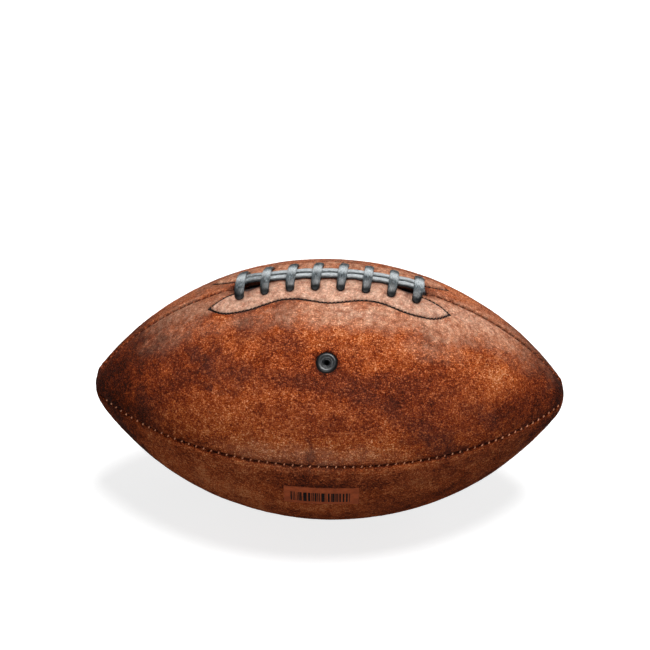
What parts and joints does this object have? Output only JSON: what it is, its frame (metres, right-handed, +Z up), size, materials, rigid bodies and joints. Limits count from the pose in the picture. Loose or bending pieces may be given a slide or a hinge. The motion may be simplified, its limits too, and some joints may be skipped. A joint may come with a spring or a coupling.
{
  "type": "american football",
  "caption": "Prolate leather ball of sewn panels over a rubber bladder, closed along its top seam by a flat lace with cross loops, with a needle valve in one panel.",
  "frame": {"origin": "on the surface that the ball lies on, under the middle of the ball", "axes": "+X along the ball from nose to nose, -Y towards the valve side, +Z up to the laced seam"},
  "size_m": [0.285, 0.1586, 0.1631],
  "materials": {
    "panel_leather": "pebbled, distressed brown with dark stains and worn orange patches",
    "lining_cloth": "plain woven cloth laminated behind the leather",
    "facing_leather": "smooth split leather",
    "black_thread": "thick waxed black thread",
    "seam_thread": "waxed brown thread in the seams",
    "bladder_rubber": "thin butyl rubber",
    "valve_rubber": "moulded black rubber",
    "lace": "flat slate grey lace with rounded edges, fibrous along its length"
  },
  "bodies": {
    "root": {"front_upper_panel": "panel_leather", "rear_upper_panel": "panel_leather", "front_lower_panel": "panel_leather", "rear_lower_panel": "panel_leather", "front_upper_lining": "lining_cloth", "rear_upper_lining": "lining_cloth", "front_lower_lining": "lining_cloth", "rear_lower_lining": "lining_cloth", "front_lace_facing": "facing_leather", "rear_lace_facing": "facing_leather", "front_facing_stitching": "black_thread", "rear_facing_stitching": "black_thread", "top_seam_thread_left": "seam_thread", "top_seam_thread_right": "seam_thread", "front_seam_thread": "seam_thread", "rear_seam_thread": "seam_thread", "bottom_seam_thread": "seam_thread", "lace_tongue": "facing_leather", "bladder": "bladder_rubber", "valve_patch": "bladder_rubber", "valve_body": "valve_rubber", "valve_plug": "valve_rubber", "lace": "lace"}
  },
  "joints": []
}
